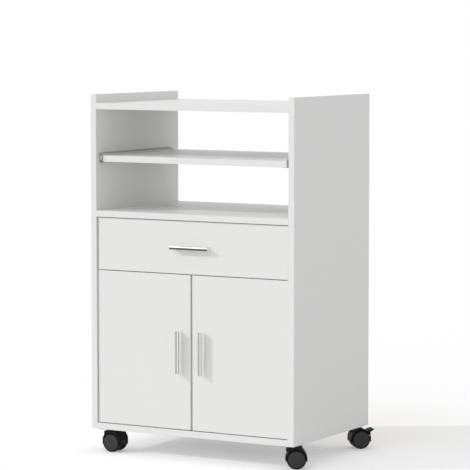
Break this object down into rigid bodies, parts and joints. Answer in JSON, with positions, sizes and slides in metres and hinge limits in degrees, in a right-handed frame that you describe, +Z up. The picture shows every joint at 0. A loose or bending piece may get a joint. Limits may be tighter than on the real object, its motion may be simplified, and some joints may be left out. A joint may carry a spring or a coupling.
{
  "type": "microwave cart",
  "caption": "White kitchen cart on casters: open bay, pull-out shelf on roller slides, wide drawer and two-door cupboard with profile handles.",
  "frame": {"origin": "on the floor, midway between the side panels and midway between the front and rear edges of the boards", "axes": "+Z up, +X to the right seen from the front, +Y towards the back; drawer and doors face -Y"},
  "size_m": [0.6404, 0.4421, 0.9325],
  "materials": {
    "white_laminate": "satin melamine laminate on particle board",
    "drawer_board": "matt foil-covered board",
    "hardboard": "thin painted hardboard",
    "zinc_steel": "bright zinc-plated steel",
    "zinc_cast": "dull die-cast zinc",
    "slide_steel": "light epoxy powder coat",
    "nylon": "moulded nylon",
    "catch_plastic": "moulded case of a magnet catch",
    "handle_metal": "satin nickel-look metal profile",
    "caster_steel": "black-coated steel",
    "hood_plastic": "black moulded nylon",
    "axle_steel": "plain steel",
    "wheel_plastic": "dark moulded nylon, worn satin",
    "pedal_plastic": "black moulded nylon"
  },
  "bodies": {
    "cabinet": {"side_panel_left": "white_laminate", "side_panel_right": "white_laminate", "top_board": "white_laminate", "fixed_shelf": "white_laminate", "front_rail": "white_laminate", "bottom_panel": "white_laminate", "back_panel": "hardboard", "inner_shelf": "white_laminate", "shelf_pins": "zinc_steel", "cam_locks": "zinc_cast", "cam_bolts": "zinc_steel", "shelf_channel_left": "slide_steel", "shelf_channel_right": "slide_steel", "drawer_channel_left": "slide_steel", "drawer_channel_right": "slide_steel", "hinge_plates": "zinc_steel", "magnet_catches": "catch_plastic", "caster_plates": "caster_steel"},
    "pull_out": {"pull_out_shelf": "white_laminate", "shelf_rail_left": "slide_steel", "shelf_rail_right": "slide_steel"},
    "shelf_rollers_front": {"shelf_front_rollers": "nylon"},
    "shelf_rollers_rear": {"shelf_rear_rollers": "nylon"},
    "drawer": {"drawer_front": "white_laminate", "drawer_side_left": "drawer_board", "drawer_side_right": "drawer_board", "drawer_back": "drawer_board", "drawer_bottom": "hardboard", "drawer_rail_left": "slide_steel", "drawer_rail_right": "slide_steel", "drawer_handle": "handle_metal"},
    "drawer_rollers_front": {"drawer_front_rollers": "nylon"},
    "drawer_rollers_rear": {"drawer_rear_rollers": "nylon"},
    "door_left": {"door_left": "white_laminate", "door_handle_left": "handle_metal", "door_bushes_left": "nylon", "strike_plate_left": "zinc_steel"},
    "door_right": {"door_right": "white_laminate", "door_handle_right": "handle_metal", "door_bushes_right": "nylon", "strike_plate_right": "zinc_steel"},
    "caster_front_left": {"hood_front_left": "hood_plastic", "axle_front_left": "axle_steel"},
    "caster_wheel_a_front_left": {"wheel_a_front_left": "wheel_plastic"},
    "caster_wheel_b_front_left": {"wheel_b_front_left": "wheel_plastic"},
    "caster_front_right": {"hood_front_right": "hood_plastic", "axle_front_right": "axle_steel"},
    "caster_wheel_a_front_right": {"wheel_a_front_right": "wheel_plastic"},
    "caster_wheel_b_front_right": {"wheel_b_front_right": "wheel_plastic"},
    "caster_rear_left": {"hood_rear_left": "hood_plastic", "axle_rear_left": "axle_steel"},
    "caster_wheel_a_rear_left": {"wheel_a_rear_left": "wheel_plastic"},
    "caster_wheel_b_rear_left": {"wheel_b_rear_left": "wheel_plastic"},
    "pedal_rear_left": {"brake_pedal_rear_left": "pedal_plastic"},
    "caster_rear_right": {"hood_rear_right": "hood_plastic", "axle_rear_right": "axle_steel"},
    "caster_wheel_a_rear_right": {"wheel_a_rear_right": "wheel_plastic"},
    "caster_wheel_b_rear_right": {"wheel_b_rear_right": "wheel_plastic"},
    "pedal_rear_right": {"brake_pedal_rear_right": "pedal_plastic"}
  },
  "joints": [
    {"name": "pull_out_slide", "type": "slide", "parent": "cabinet", "child": "pull_out", "axis": [0, -1, 0], "range_m": [0, 0.26]},
    {"name": "drawer_slide", "type": "slide", "parent": "cabinet", "child": "drawer", "axis": [0, -1, 0], "range_m": [0, 0.26]},
    {"name": "shelf_front_roller_spin", "type": "hinge", "parent": "cabinet", "child": "shelf_rollers_front", "pos_m": [0, -0.179, 0.768], "axis": [1, 0, 0], "range_deg": [0, 1500]},
    {"name": "shelf_rear_roller_spin", "type": "hinge", "parent": "pull_out", "child": "shelf_rollers_rear", "pos_m": [0, 0.1448, 0.7665], "axis": [1, 0, 0], "range_deg": [0, 1500]},
    {"name": "drawer_front_roller_spin", "type": "hinge", "parent": "cabinet", "child": "drawer_rollers_front", "pos_m": [0, -0.172, 0.5106], "axis": [1, 0, 0], "range_deg": [0, 1500]},
    {"name": "drawer_rear_roller_spin", "type": "hinge", "parent": "drawer", "child": "drawer_rollers_rear", "pos_m": [0, 0.1518, 0.5091], "axis": [1, 0, 0], "range_deg": [0, 1500]},
    {"name": "door_left_hinge", "type": "hinge", "parent": "cabinet", "child": "door_left", "pos_m": [-0.2783, -0.1962, 0.2775], "axis": [0, 0, -1], "range_deg": [0, 98]},
    {"name": "door_right_hinge", "type": "hinge", "parent": "cabinet", "child": "door_right", "pos_m": [0.2783, -0.1962, 0.2775], "axis": [0, 0, 1], "range_deg": [0, 98]},
    {"name": "swivel_front_left", "type": "hinge", "parent": "cabinet", "child": "caster_front_left", "pos_m": [-0.268, -0.174, 0.05], "axis": [0, 0, 1], "continuous": true},
    {"name": "wheel_spin_a_front_left", "type": "hinge", "parent": "caster_front_left", "child": "caster_wheel_a_front_left", "pos_m": [-0.248, -0.174, 0.025], "axis": [0, 1, 0], "continuous": true},
    {"name": "wheel_spin_b_front_left", "type": "hinge", "parent": "caster_front_left", "child": "caster_wheel_b_front_left", "pos_m": [-0.248, -0.174, 0.025], "axis": [0, 1, 0], "continuous": true},
    {"name": "swivel_front_right", "type": "hinge", "parent": "cabinet", "child": "caster_front_right", "pos_m": [0.268, -0.174, 0.05], "axis": [0, 0, 1], "continuous": true},
    {"name": "wheel_spin_a_front_right", "type": "hinge", "parent": "caster_front_right", "child": "caster_wheel_a_front_right", "pos_m": [0.28532, -0.164, 0.025], "axis": [-0.5, 0.866, 0], "continuous": true},
    {"name": "wheel_spin_b_front_right", "type": "hinge", "parent": "caster_front_right", "child": "caster_wheel_b_front_right", "pos_m": [0.28532, -0.164, 0.025], "axis": [-0.5, 0.866, 0], "continuous": true},
    {"name": "swivel_rear_left", "type": "hinge", "parent": "cabinet", "child": "caster_rear_left", "pos_m": [-0.268, 0.174, 0.05], "axis": [0, 0, 1], "continuous": true},
    {"name": "wheel_spin_a_rear_left", "type": "hinge", "parent": "caster_rear_left", "child": "caster_wheel_a_rear_left", "pos_m": [-0.28286, 0.18738, 0.025], "axis": [-0.6691, -0.7431, 0], "continuous": true},
    {"name": "wheel_spin_b_rear_left", "type": "hinge", "parent": "caster_rear_left", "child": "caster_wheel_b_rear_left", "pos_m": [-0.28286, 0.18738, 0.025], "axis": [-0.6691, -0.7431, 0], "continuous": true},
    {"name": "brake_press_rear_left", "type": "hinge", "parent": "caster_rear_left", "child": "pedal_rear_left", "pos_m": [-0.29888, 0.2018, 0.04441], "axis": [-0.6691, -0.7431, 0], "range_deg": [0, 10]},
    {"name": "swivel_rear_right", "type": "hinge", "parent": "cabinet", "child": "caster_rear_right", "pos_m": [0.268, 0.174, 0.05], "axis": [0, 0, 1], "continuous": true},
    {"name": "wheel_spin_a_rear_right", "type": "hinge", "parent": "caster_rear_right", "child": "caster_wheel_a_rear_right", "pos_m": [0.28286, 0.18738, 0.025], "axis": [-0.6691, 0.7431, 0], "continuous": true},
    {"name": "wheel_spin_b_rear_right", "type": "hinge", "parent": "caster_rear_right", "child": "caster_wheel_b_rear_right", "pos_m": [0.28286, 0.18738, 0.025], "axis": [-0.6691, 0.7431, 0], "continuous": true},
    {"name": "brake_press_rear_right", "type": "hinge", "parent": "caster_rear_right", "child": "pedal_rear_right", "pos_m": [0.29888, 0.2018, 0.04441], "axis": [-0.6691, 0.7431, 0], "range_deg": [0, 10]}
  ],
  "couplings": [
    {"joint": "shelf_front_roller_spin", "follows": "pull_out_slide", "rad_per_m": 100},
    {"joint": "shelf_rear_roller_spin", "follows": "pull_out_slide", "rad_per_m": 100},
    {"joint": "drawer_front_roller_spin", "follows": "drawer_slide", "rad_per_m": 100},
    {"joint": "drawer_rear_roller_spin", "follows": "drawer_slide", "rad_per_m": 100}
  ]
}
